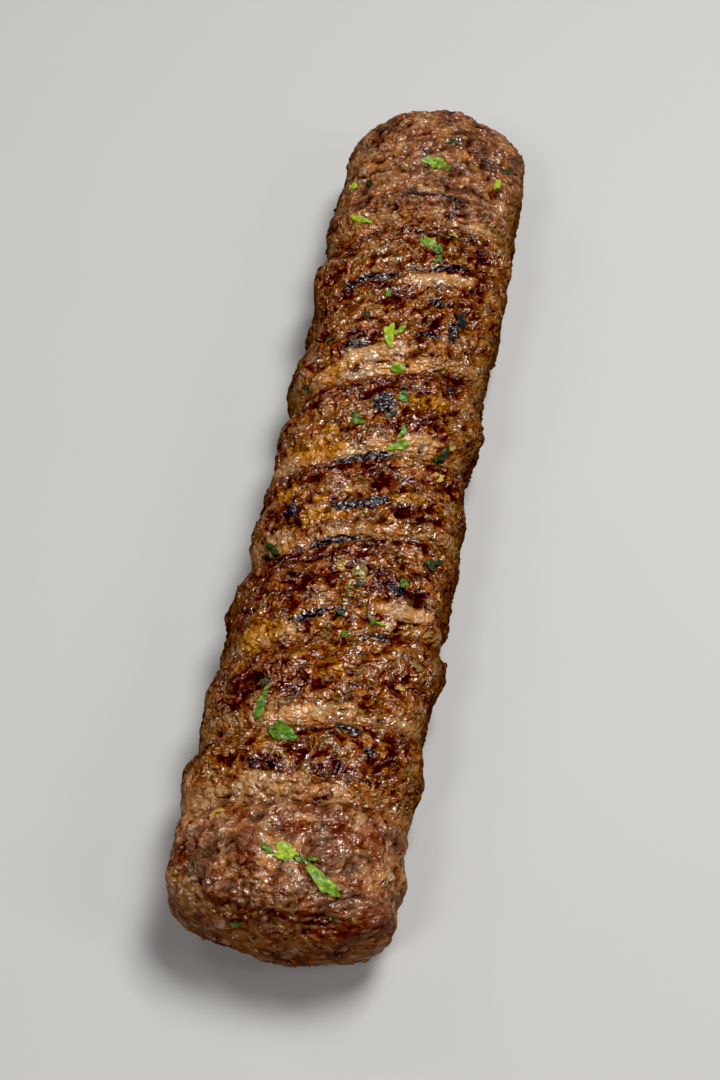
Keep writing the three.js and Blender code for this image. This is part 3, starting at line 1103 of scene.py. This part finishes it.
class NodeSketch:
    """A short way to write a material's nodes."""

    def __init__(self, name: str) -> None:
        """Starts a material whose shader is joined to its output.

        Args:
            name: the material's name.
        """
        self.material = bpy.data.materials.new(name)
        self.material.use_nodes = True
        self.tree = self.material.node_tree
        self.tree.nodes.clear()
        output = self.add("ShaderNodeOutputMaterial")
        self.shader = self.add("ShaderNodeBsdfPrincipled")
        self.join(self.shader.outputs["BSDF"], output.inputs["Surface"])
        self.place = self.add("ShaderNodeTexCoord").outputs["Object"]

    def add(self, kind: str, **settings: object) -> bpy.types.Node:
        """Adds a node.

        Args:
            kind: its type.
            **settings: what its properties are set to.

        Returns:
            The node.
        """
        node = self.tree.nodes.new(kind)
        for name, value in settings.items():
            setattr(node, name, value)
        return node

    def join(self, source: object, target: Socket) -> None:
        """Links a socket to an input, or sets the input to a plain value.

        Args:
            source: the socket or value.
            target: the input.
        """
        if isinstance(source, Socket):
            self.tree.links.new(source, target)
        else:
            target.default_value = source

    def fill(self, node: bpy.types.Node, **inputs: object) -> bpy.types.Node:
        """Joins or sets inputs of a node.

        Args:
            node: the node.
            **inputs: a socket or value for each input, by its name with _ for a space.

        Returns:
            The same node.
        """
        for name, source in inputs.items():
            self.join(source, node.inputs[name.replace("_", " ")])
        return node

    def feed(self, node: bpy.types.Node, *sources: object) -> bpy.types.Node:
        """Joins or sets a node's inputs in their order.

        Args:
            node: the node.
            *sources: a socket or value for each of its first inputs.

        Returns:
            The same node.
        """
        for source, target in zip(sources, node.inputs):
            self.join(source, target)
        return node

    def dress(self, **inputs: object) -> None:
        """Joins or sets inputs of the shader, named as in fill."""
        self.fill(self.shader, **inputs)

    def mask(self, name: str, fade: Fade | None = None) -> Socket:
        """Returns a painted mask of the piece, or how strong a fade is at its value."""
        painted = self.add("ShaderNodeAttribute", attribute_name=name).outputs["Fac"]
        return self.fade(painted, fade) if fade else painted

    def stretched(self, times: float, turn: float) -> Socket:
        """The place drawn out.

        Args:
            times: how many times.
            turn: in which direction, in degrees from across the log.

        Returns:
            The new place.
        """
        node = self.add("ShaderNodeMapping", vector_type="TEXTURE")
        self.fill(node, Rotation=(0.0, 0.0, math.radians(turn)), Scale=(times, 1.0, 1.0),
                  Vector=self.place)
        return node.outputs["Vector"]

    def noise(self, kind: Noise, place: Socket | None = None) -> Socket:
        """Noise of a kind.

        Args:
            kind: its size, detail and roughness.
            place: where it is read, if not at the plain place.

        Returns:
            A number from 0 to 1.
        """
        node = self.add("ShaderNodeTexNoise")
        self.fill(node, Scale=1.0 / (kind.size * MM), Detail=kind.detail, Roughness=kind.rough,
                  Vector=place or self.place)
        return node.outputs["Fac"]

    def patches(self, kind: Patches) -> Socket:
        """Returns how strong patches of a kind are."""
        return self.fade(self.noise(kind), kind.fade)

    def warped(self, place: Socket, size: float, by: float) -> Socket:
        """A place pushed about by noise.

        Args:
            place: the place.
            size: the size of the noise in millimetres.
            by: how far it pushes, in millimetres.

        Returns:
            The new place.
        """
        noise = self.add("ShaderNodeTexNoise")
        self.fill(noise, Scale=1.0 / (size * MM), Vector=self.place)
        node = self.add("ShaderNodeVectorMath", operation="MULTIPLY_ADD")
        return self.feed(node, noise.outputs["Color"], [by * MM] * 3, place).outputs["Vector"]

    def gaps(self, size: float, place: Socket) -> Socket:
        """Returns how far it is to the gap round each of packed grains, as a share of a size."""
        node = self.add("ShaderNodeTexVoronoi", feature="DISTANCE_TO_EDGE")
        return self.fill(node, Scale=1.0 / (size * MM), Vector=place).outputs["Distance"]

    def frayed(self, name: str, noise: Socket, fade: Fade) -> Socket:
        """Returns how strong a fade is over a painted mask that noise frays."""
        fray = self.total((self.mask(name), 1.0), (noise, MASK_FRAY), offset=-MASK_FRAY / 2)
        return self.fade(fray, fade)

    def upward(self, normal: Socket) -> Socket:
        """Returns how far a normal points up, from 1 straight up to 0 level."""
        node = self.add("ShaderNodeVectorMath", operation="DOT_PRODUCT")
        return self.feed(node, normal, (0.0, 0.0, 1.0)).outputs["Value"]

    def math(self, operation: str, first: object, *others: object) -> Socket:
        """A sum on sockets or numbers, from left to right.

        Args:
            operation: the sum, by Blender's name.
            first: the first socket or number.
            *others: those after it.

        Returns:
            The result, held to 0 to 1.
        """
        for other in others:
            node = self.add("ShaderNodeMath", operation=operation, use_clamp=True)
            first = self.feed(node, first, other).outputs[0]
        return first

    def times(self, *factors: object) -> Socket:
        """Returns a product of sockets or numbers, held to 0 to 1."""
        return self.math("MULTIPLY", *factors)

    def most(self, *parts: object) -> Socket:
        """Returns the greatest of sockets or numbers, held to 0 to 1."""
        return self.math("MAXIMUM", *parts)

    def total(self, *parts: tuple[Socket, float], offset: float) -> Socket:
        """Adds up weighted sockets.

        Args:
            *parts: each socket and its weight.
            offset: what the sum starts from.

        Returns:
            The sum.
        """
        so_far: object = offset
        for source, weight in parts:
            node = self.add("ShaderNodeMath", operation="MULTIPLY_ADD")
            so_far = self.feed(node, source, weight, so_far).outputs[0]
        return so_far

    def scale_of(self, source: Socket, stops: tuple[tuple[float, Colour], ...]) -> Socket:
        """The colour that a scale of colours has.

        Args:
            source: where on the scale.
            stops: places on it, in rising order, and their colours.

        Returns:
            The colour.
        """
        node = self.add("ShaderNodeValToRGB")
        own = node.color_ramp.elements
        for index, (place, colour) in enumerate(stops):
            stop = own[index] if index < 2 else own.new(place)
            stop.position, stop.color = place, (*colour, 1.0)
        return self.fill(node, Fac=source).outputs["Color"]

    def spread(self, source: Socket, low: float, high: float, least: object,
               most: object) -> Socket:
        """A socket's range, eased to another range.

        Args:
            source: the socket.
            low: where its range starts.
            high: where its range ends.
            least: the number or socket for values up to low.
            most: the number or socket for values from high.

        Returns:
            The new value.
        """
        node = self.add("ShaderNodeMapRange", interpolation_type="SMOOTHSTEP")
        return self.fill(node, Value=source, From_Min=low, From_Max=high, To_Min=least,
                         To_Max=most).outputs["Result"]

    def fade(self, source: Socket, fade: Fade) -> Socket:
        """Returns how strong a fade is at a socket's value."""
        return self.spread(source, fade.low, fade.high, fade.least, fade.most)

    def mix(self, share: object, first: object, second: object, blend: str = "MIX") -> Socket:
        """Two colours mixed.

        Args:
            share: how much of the second there is.
            first: the first colour, or its socket.
            second: the second colour, or its socket.
            blend: how they mix, by Blender's name.

        Returns:
            The mixed colour.
        """
        node = self.add("ShaderNodeMix", data_type="RGBA", blend_type=blend)
        self.join(share, node.inputs["Factor"])
        for source, target in ((first, node.inputs[6]), (second, node.inputs[7])):
            self.join(source if isinstance(source, Socket) else (*source, 1.0), target)
        return node.outputs[2]

    def bump(self, height: Socket, depth: float, strength: object,
             before: Socket | None = None) -> Socket:
        """Normals bumped by a height.

        Args:
            height: the height.
            depth: how deep it goes, in millimetres.
            strength: how strongly it shows.
            before: the normals to bump, if not the surface's own.

        Returns:
            The bumped normals.
        """
        node = self.fill(self.add("ShaderNodeBump"), Distance=depth * MM, Strength=strength,
                         Height=height)
        if before is not None:
            self.join(before, node.inputs["Normal"])
        return node.outputs["Normal"]


@dataclass(frozen=True)
class MinceFinish:
    """Browned, charred and greasy mince, with painted sheen and painted shade. Colours are linear.
    """

    # From raw-looking to black: how done the meat is, and its colour then.
    browning: tuple[tuple[float, Colour], ...] = (
        (0.00, (0.490, 0.275, 0.125)),
        (0.20, (0.365, 0.178, 0.058)),
        (0.38, (0.275, 0.106, 0.016)),
        (0.55, (0.175, 0.048, 0.004)),
        (0.70, (0.084, 0.016, 0.001)),
        (0.85, (0.028, 0.005, 0.001)),
        (1.00, (0.009, 0.003, 0.002)),
    )
    pale: Colour = (0.375, 0.200, 0.066)
    # Painted shade: the dark brown that the log's sides are darkened towards.
    side_shade: Colour = (0.052, 0.022, 0.003)
    amber: Colour = (0.430, 0.170, 0.012)
    rust: Colour = (0.120, 0.023, 0.004)
    # The bosses' own pinkish tone and a painted highlight of the glints on their tops.
    mauve: Colour = (0.200, 0.085, 0.050)
    # Painted shade: the near-black of hollows, cracks, gaps between grains and pits.
    crease: Colour = (0.018, 0.002, 0.001)
    soot: Colour = (0.010, 0.011, 0.012)
    cooked: Colour = (0.285, 0.178, 0.098)
    # Painted highlight: a pinkish sheen on the crests of the calm ends.
    sheen: Colour = (0.430, 0.275, 0.200)
    # What the browned colours are multiplied by where they turn to rust and to grey.
    rusty: Colour = (1.12, 0.82, 0.46)
    greyed: Colour = (0.84, 0.98, 1.30)
    # How done the crust is, and the calm ends: where each sum starts, and what every mask or
    # noise adds to it.
    # The negative weights on open are painted shade: hollows come out darker, crests lighter.
    crust_start: float = -0.48
    crust: tuple[tuple[str, float], ...] = (
        ("burnt", 0.42), ("patch", 0.85), ("strands", 0.50), ("fine", 0.75), ("tint", -0.26),
        ("pale", -0.12), ("open", -0.28),
    )
    ends_start: float = 0.06
    ends: tuple[tuple[str, float], ...] = (
        ("lump", 1.30), ("patch", 0.35), ("fine", 0.28), ("tint", -0.25), ("open", -0.60),
        ("near", -0.07),
    )
    # The strands that run with the grooves: their noise, their length to their width, and
    # their turn.
    strands: Noise = Noise(1.1, 3.0, 0.6)
    strand_stretch: float = 4.0
    strand_turn: float = 15.0
    # The grains packed between them: their length to their width, their size, and the size
    # and reach of what bends them.
    grain_stretch: float = 1.5
    grain_size: float = 1.7
    bend_size: float = 1.6
    bend: float = 1.5
    # Noise that colours the meat.
    fine: Noise = Noise(0.45, 4.0, 0.7)
    patch: Noise = Noise(2.0, 5.0, 0.65)
    lump: Noise = Noise(5.0, 2.0, 0.5)
    hues: Patches = Patches(2.4, 3.0, 0.6, Fade(0.40, 0.60))
    mottle: Patches = Patches(3.6, 4.0, 0.6, Fade(0.535, 0.585))
    # Painted highlight: the patches where the pinkish sheen shows.
    sheen_patches: Patches = Patches(2.2, fade=Fade(0.48, 0.60, 0.0, 0.72))
    bareness: Patches = Patches(1.1, 4.0, 0.6, Fade(0.38, 0.60, 0.10, 0.66))
    wetness: Patches = Patches(1.2, 4.0, fade=Fade(0.38, 0.54, 0.20, 0.90))
    gold: Patches = Patches(2.8, 4.0, 0.6, Fade(0.58, 0.70))
    cracking: Patches = Patches(4.0, 1.0, fade=Fade(0.48, 0.60, 0.0, 0.8))
    parting: Patches = Patches(3.0, 2.0, fade=Fade(0.42, 0.60, 0.15, 0.85))
    # How strong the colours get, and how they fade in over masks, strands and gaps.
    cooked_share: float = 0.27
    side_shade_share: float = 0.90
    soot_share: float = 0.92
    ring_start: Fade = Fade(0.05, 0.35)
    ring_end: Fade = Fade(0.35, 0.85, 0.5, 0.0)
    rust_edge: Fade = Fade(0.38, 0.62)
    soot_edge: Fade = Fade(0.22, 0.45)
    speckle: Fade = Fade(0.36, 0.58, 0.60, 0.95)
    # Where the painted sheen fades in on the crests.
    sheen_crests: Fade = Fade(0.45, 0.90)
    # How the bosses' mauve, partly a painted highlight, fades in towards their middles.
    boss_mauve: Fade = Fade(0.5, 1.0, 0.0, 0.25)
    bare_crests: Fade = Fade(0.15, 0.65, 0.45, 1.0)
    gold_calm: Fade = Fade(0.0, 0.6, 0.45, 0.0)
    # Where painted shade fades in over seams, grain gaps and hollows, and what smooth meat and the
    # near end keep.
    seams: Fade = Fade(0.0, 0.022, 1.0, 0.0)
    splits: Fade = Fade(0.0, 0.09, 1.0, 0.0)
    smooth_lines: Fade = Fade(0.0, 1.0, 1.0, 0.35)
    hollows: Fade = Fade(0.0, 0.24, 0.85, 0.0)
    near_dark: Fade = Fade(0.0, 1.0, 1.0, 0.8)
    # The bumps, from ridges to the grease's own: noise, depth, and how smooth meat softens them.
    ridge_depth: float = 0.45
    grain_edge: Fade = Fade(0.0, 0.30)
    grain_depth: float = 0.40
    pebbles: Noise = Noise(2.0, 1.0)
    pebble_depth: float = 0.50
    beads: Noise = Noise(1.0, 0.5)
    bead_depth: float = 0.50
    pores: Noise = Noise(0.5, 3.0)
    pore_depth: float = 0.24
    film: Noise = Noise(0.5, 1.0)
    film_depth: float = 0.16
    ridge_calm: Fade = Fade(0.0, 1.0, 1.0, 0.3)
    soft_calm: Fade = Fade(0.0, 1.0, 1.0, 0.55)
    film_calm: Fade = Fade(0.0, 1.0, 0.7, 0.2)
    # The gloss: how matt the sides are, how rough the meat, and where the grease's coat lies.
    matt_side: float = 0.7
    matt_roughness: float = 0.8
    roughness: Patches = Patches(1.6, fade=Fade(0.3, 0.7, 0.28, 0.55))
    grease: Patches = Patches(3.2, 2.0, fade=Fade(0.38, 0.60, 0.35, 1.0))
    grease_crests: Fade = Fade(0.15, 0.55)
    grease_soot: float = 0.6
    grease_up: Fade = Fade(0.40, 0.80)
    grease_calm: Fade = Fade(0.0, 0.65, 1.0, 0.55)
    specular: float = 0.10
    specular_tint: Colour = (1.0, 0.80, 0.66)
    coat_roughness: float = 0.10
    coat_ior: float = 2.0

    def material(self) -> bpy.types.Material:
        """Makes the finish.

        Returns:
            The node material.
        """
        n = NodeSketch("grilled_mince")
        strands = n.noise(self.strands, n.stretched(self.strand_stretch, self.strand_turn))
        drawn = n.stretched(self.grain_stretch, self.strand_turn)
        gap = n.gaps(self.grain_size, n.warped(drawn, self.bend_size, self.bend))
        n.dress(Base_Color=self._colour(n, strands, gap))
        self._gloss(n, self._bumps(n, strands, gap))
        return n.material

    def _colour(self, n: NodeSketch, strands: Socket, gap: Socket) -> Socket:
        """The meat's colour, from how done each grain is to painted sheen, soot and cracks in
        painted shade.

        Args:
            n: the material's nodes.
            strands: noise from 0 to 1 that runs with the grooves.
            gap: how far it is to the gap between two grains.

        Returns:
            The colour's socket.
        """
        fine, patch = n.noise(self.fine), n.noise(self.patch)
        noises = {"strands": strands, "fine": fine, "patch": patch, "lump": n.noise(self.lump)}
        crust, ends = (
            n.total(*((noises.get(name) or n.mask(name), weight) for name, weight in recipe),
                    offset=start)
            for recipe, start in ((self.crust, self.crust_start), (self.ends, self.ends_start))
        )
        colour = n.scale_of(n.spread(n.mask("calm"), 0.0, 1.0, crust, ends), self.browning)
        hue = n.mix(n.patches(self.hues), self.rusty, self.greyed)
        colour = n.mix(1.0, colour, hue, "MULTIPLY")
        colour = n.mix(n.times(n.mask("calm"), self.cooked_share), colour, self.cooked)
        # Painted shade: the sides darkened towards a dark brown.
        colour = n.mix(n.times(n.mask("side"), self.side_shade_share), colour, self.side_shade)
        # Painted highlight: a pinkish sheen on the crests of the calm ends, away from the sides.
        up_to_side = n.math("SUBTRACT", n.mask("calm"), n.mask("side"))
        sheen_share = n.times(n.mask("open", self.sheen_crests), n.patches(self.sheen_patches), up_to_side)
        colour = n.mix(sheen_share, colour, self.sheen)
        ring = n.times(n.mask("boss", self.ring_start), n.mask("boss", self.ring_end))
        mottle = n.times(n.mask("near"), n.patches(self.mottle))
        spots = n.most(ring, n.frayed("rust", patch, self.rust_edge), mottle)
        colour = n.mix(n.times(spots, n.fade(fine, self.speckle)), colour, self.rust)
        # The bosses' mauve: their own tone and a painted highlight of their glints.
        colour = n.mix(n.mask("boss", self.boss_mauve), colour, self.mauve)
        bare = n.times(n.mask("pale"), n.patches(self.bareness), n.mask("open", self.bare_crests))
        colour = n.mix(bare, colour, self.pale)
        wet = n.times(n.mask("glaze"), n.patches(self.wetness))
        golden = n.times(n.mask("calm", self.gold_calm), n.patches(self.gold))
        colour = n.mix(n.most(wet, golden), colour, self.amber)
        # Painted shade in hollows, cracks and gaps between grains.
        colour = n.mix(self._painted_shade(n, strands, gap), colour, self.crease)
        sooty = n.times(n.frayed("soot", fine, self.soot_edge), self.soot_share)
        # Pits and the cracks along the grooves take the creases' painted shade.
        return n.mix(n.mask("pit"), n.mix(sooty, colour, self.soot), self.crease)

    def _painted_shade(self, n: NodeSketch, strands: Socket, gap: Socket) -> Socket:
        """Painted shade: how dark hollows, cracks along the strands and gaps between grains are.

        Args:
            n: the material's nodes.
            strands: noise from 0 to 1 that runs with the grooves.
            gap: how far it is to the gap between two grains.

        Returns:
            A share from 0 to 1.
        """
        seam = n.math("ABSOLUTE", n.total((strands, 1.0), offset=-NOISE_MIDDLE), 0.0)
        cracked = n.times(n.fade(seam, self.seams), n.patches(self.cracking))
        parted = n.times(n.fade(gap, self.splits), n.patches(self.parting))
        smooth_here = n.most(n.mask("calm"), n.mask("glaze"), n.mask("pale"))
        lines = n.times(n.most(cracked, parted), n.fade(smooth_here, self.smooth_lines))
        creased = n.most(n.mask("open", self.hollows), lines)
        return n.times(creased, n.mask("near", self.near_dark))

    def _bumps(self, n: NodeSketch, strands: Socket, gap: Socket) -> Socket:
        """Sets the surface's normals.

        Args:
            n: the material's nodes.
            strands: noise from 0 to 1 that runs with the grooves.
            gap: how far it is to the gap between two grains.

        Returns:
            The normals of the grease that beads on the surface.
        """
        soft = n.fade(n.most(n.mask("pale"), n.mask("calm")), self.soft_calm)
        ridges = n.bump(strands, self.ridge_depth, n.mask("calm", self.ridge_calm))
        grains = n.bump(n.fade(gap, self.grain_edge), self.grain_depth, soft, ridges)
        pebbles = n.bump(n.noise(self.pebbles), self.pebble_depth, 1.0, grains)
        beads = n.bump(n.noise(self.beads), self.bead_depth, soft, pebbles)
        n.dress(Normal=n.bump(n.noise(self.pores), self.pore_depth, soft, beads))
        return n.bump(n.noise(self.film), self.film_depth, n.mask("calm", self.film_calm), beads)

    def _gloss(self, n: NodeSketch, beads: Socket) -> None:
        """Makes the surface dull at the sides, with wet grease on what faces up.

        Args:
            n: the material's nodes.
            beads: the normals of the grease.
        """
        matt = n.times(n.mask("side"), self.matt_side)
        rough = n.spread(matt, 0.0, self.matt_side, n.patches(self.roughness), self.matt_roughness)
        greasy = n.times(n.mask("open", self.grease_crests), n.patches(self.grease))
        greasy = n.spread(n.mask("soot"), 0.0, 1.0, greasy, self.grease_soot)
        greasy = n.times(greasy, n.fade(n.upward(beads), self.grease_up),
                         n.mask("calm", self.grease_calm))
        n.dress(
            Roughness=rough, Specular_IOR_Level=self.specular,
            Specular_Tint=(*self.specular_tint, 1.0), Coat_Weight=n.math("SUBTRACT", greasy, matt),
            Coat_Normal=beads, Coat_Roughness=self.coat_roughness, Coat_IOR=self.coat_ior,
        )


@dataclass(frozen=True)
class ScrapFinish:
    """Herb leaf or onion, from burnt to fresh. Colours are linear."""

    name: str
    burnt: Colour
    dark: Colour
    green: Colour
    fresh: Colour
    roughness: float
    coat: float
    coat_roughness: float = 0.2
    specular: float = 0.25
    veins: Noise = Noise(0.9, 4.0, 0.65)
    # How the colours fade into one another by tint.
    fades: tuple[Fade, ...] = (Fade(0.0, 0.35), Fade(0.3, 0.75), Fade(0.7, 1.05))
    # How much veins shift the tint, and how deep and strong they stand.
    vein_tint: float = 1.4
    tint_start: float = -0.72
    vein_depth: float = 0.15
    vein_strength: float = 0.6

    def material(self) -> bpy.types.Material:
        """Makes the finish.

        Returns:
            The node material.
        """
        n = NodeSketch(self.name)
        vein = n.noise(self.veins)
        tint = n.total((n.mask("tint"), 1.0), (vein, self.vein_tint), offset=self.tint_start)
        colour: object = self.burnt
        for fade, fresher in zip(self.fades, (self.dark, self.green, self.fresh)):
            colour = n.mix(n.fade(tint, fade), colour, fresher)
        n.dress(
            Base_Color=colour, Roughness=self.roughness, Specular_IOR_Level=self.specular,
            Normal=n.bump(vein, self.vein_depth, self.vein_strength), Coat_Weight=self.coat,
            Coat_Roughness=self.coat_roughness,
        )
        return n.material


LEAF = ScrapFinish(
    "parsley", burnt=(0.006, 0.009, 0.006), dark=(0.014, 0.028, 0.005),
    green=(0.080, 0.165, 0.010), fresh=(0.270, 0.350, 0.016), roughness=0.50, coat=0.18,
)
ONION_FLESH = ScrapFinish(
    "onion", burnt=(0.10, 0.05, 0.01), dark=(0.15, 0.10, 0.015),
    green=(0.32, 0.150, 0.015), fresh=(0.42, 0.31, 0.07), roughness=0.30, coat=0.6,
)


def aimed(name: str, data: bpy.types.ID, place: Vector, back: Vector) -> Piece:
    """Puts a light or camera into the scene.

    Args:
        name: the object's name.
        data: its light or camera data.
        place: where it stands, in metres.
        back: the direction that its back faces.

    Returns:
        The object.
    """
    found = bpy.data.objects.new(name, data)
    found.location = place
    found.rotation_mode = "QUATERNION"
    found.rotation_quaternion = (-back).to_track_quat("-Z", "Y")
    bpy.context.scene.collection.objects.link(found)
    return found


@dataclass(frozen=True)
class Lamp:
    """A square area light that faces the log: place and size in metres, power in watts."""

    name: str
    place: Place
    size: float
    power: float

    def build(self) -> None:
        """Adds the light to the scene."""
        data = bpy.data.lights.new(self.name, "AREA")
        data.size, data.energy = self.size, self.power
        aimed(self.name, data, Vector(self.place), Vector(self.place))


@dataclass
class Studio:
    """A pale floor, soft lights and the camera. Places are metres."""

    floor_half: float = 3.0
    # How far the floor lies under the resting plane.
    floor_drop: float = 0.0001
    floor_colour: Colour = (0.40, 0.392, 0.38)
    # The floor's faint clouds: their noise, how dark they are, and how rough the floor is.
    floor_clouds: Noise = Noise(60.0, 2.0)
    cloud_share: float = 0.97
    floor_roughness: float = 0.7
    lamps: tuple[Lamp, ...] = (
        Lamp("key_light", (0.20, 0.24, 0.76), 0.30, 8.2),
        Lamp("right_light", (0.50, -0.10, 0.42), 0.18, 0.7),
        Lamp("left_light", (-0.45, 0.25, 0.50), 0.18, 0.5),
        Lamp("front_light", (-0.20, -0.42, 0.58), 0.18, 1.6),
    )
    sky_colour: Colour = (1.0, 0.98, 0.95)
    sky_strength: float = 0.045
    black_level: Colour = (0.010, 0.014, 0.011)
    # The camera: angles in degrees, lens and sensor in millimetres, the rest in metres.
    elevation: float = 56.0
    azimuth: float = 10.08
    distance: float = 0.326
    lens: float = 56.67
    sensor_width: float = 36.0
    clip_start: float = 0.01
    target: Place = (0.000593, -0.01481, 0.0120)

    def build(self) -> None:
        """Builds the floor, the lights and the camera."""
        self._floor()
        for lamp in self.lamps:
            lamp.build()
        world = bpy.data.worlds.new("studio")
        world.use_nodes = True
        sky = world.node_tree.nodes["Background"].inputs
        sky["Color"].default_value = (*self.sky_colour, 1.0)
        sky["Strength"].default_value = self.sky_strength
        bpy.context.scene.world = world
        self._view()
        self._camera()

    def _view(self) -> None:
        """Shows colours as they are, from a black point just above zero."""
        view = bpy.context.scene.view_settings
        view.view_transform = "Standard"
        view.use_curve_mapping = True
        view.curve_mapping.black_level = self.black_level
        view.curve_mapping.update()

    def _floor(self) -> None:
        """Builds the floor just under the resting plane."""
        mesh = bmesh.new()
        bmesh.ops.create_grid(mesh, x_segments=1, y_segments=1, size=self.floor_half)
        bmesh.ops.translate(mesh, vec=(0.0, 0.0, -self.floor_drop), verts=mesh.verts)
        floor = piece_from("studio_floor", mesh)
        n = NodeSketch("pale_floor")
        clouded = tuple(self.cloud_share * part for part in self.floor_colour)
        grain = n.mix(n.noise(self.floor_clouds), self.floor_colour, clouded)
        n.dress(Base_Color=grain, Roughness=self.floor_roughness)
        floor.data.materials.append(n.material)

    def _camera(self) -> None:
        """Adds the camera, looking down along the log from its near end."""
        tilt, yaw = math.radians(self.elevation), math.radians(self.azimuth)
        level = math.cos(tilt)
        back = Vector((math.sin(yaw) * level, -math.cos(yaw) * level, math.sin(tilt)))
        data = bpy.data.cameras.new("camera")
        data.lens, data.sensor_width = self.lens, self.sensor_width
        data.clip_start = self.clip_start
        place = Vector(self.target) + back * self.distance
        bpy.context.scene.camera = aimed("camera", data, place, back)


def seat(piece: Piece, material: bpy.types.Material) -> None:
    """Dresses a piece and fixes it to the part's one body.

    Args:
        piece: the piece.
        material: its finish.
    """
    piece.data.materials.append(material)
    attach(piece, BODY)
    faces = sum(len(p.vertices) - 2 for p in piece.data.polygons)
    log.info("%s: %d triangles", piece.name, faces)


def main() -> None:
    """Builds the kofta and the studio round it."""
    logging.basicConfig(level=logging.INFO, format="%(name)s %(message)s")
    form = LogForm()
    meat = MinceLog(form, Browning(form), MinceRelief(form))
    mince = MinceFinish().material()
    body = meat.build()
    seat(body, mince)
    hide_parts(NODE)
    seat(Crumbs(meat).build(), mince)
    leaves = Scraps("parsley_flecks", meat, PARSLEY, thickness=0.24, lift=0.22, seed=11)
    seat(leaves.build(), LEAF.material())
    bits = Scraps("onion_bits", meat, ONION, thickness=0.55, lift=0.08, seed=13)
    seat(bits.build(), ONION_FLESH.material())
    Studio().build()


if __name__ == "__main__":
    main()
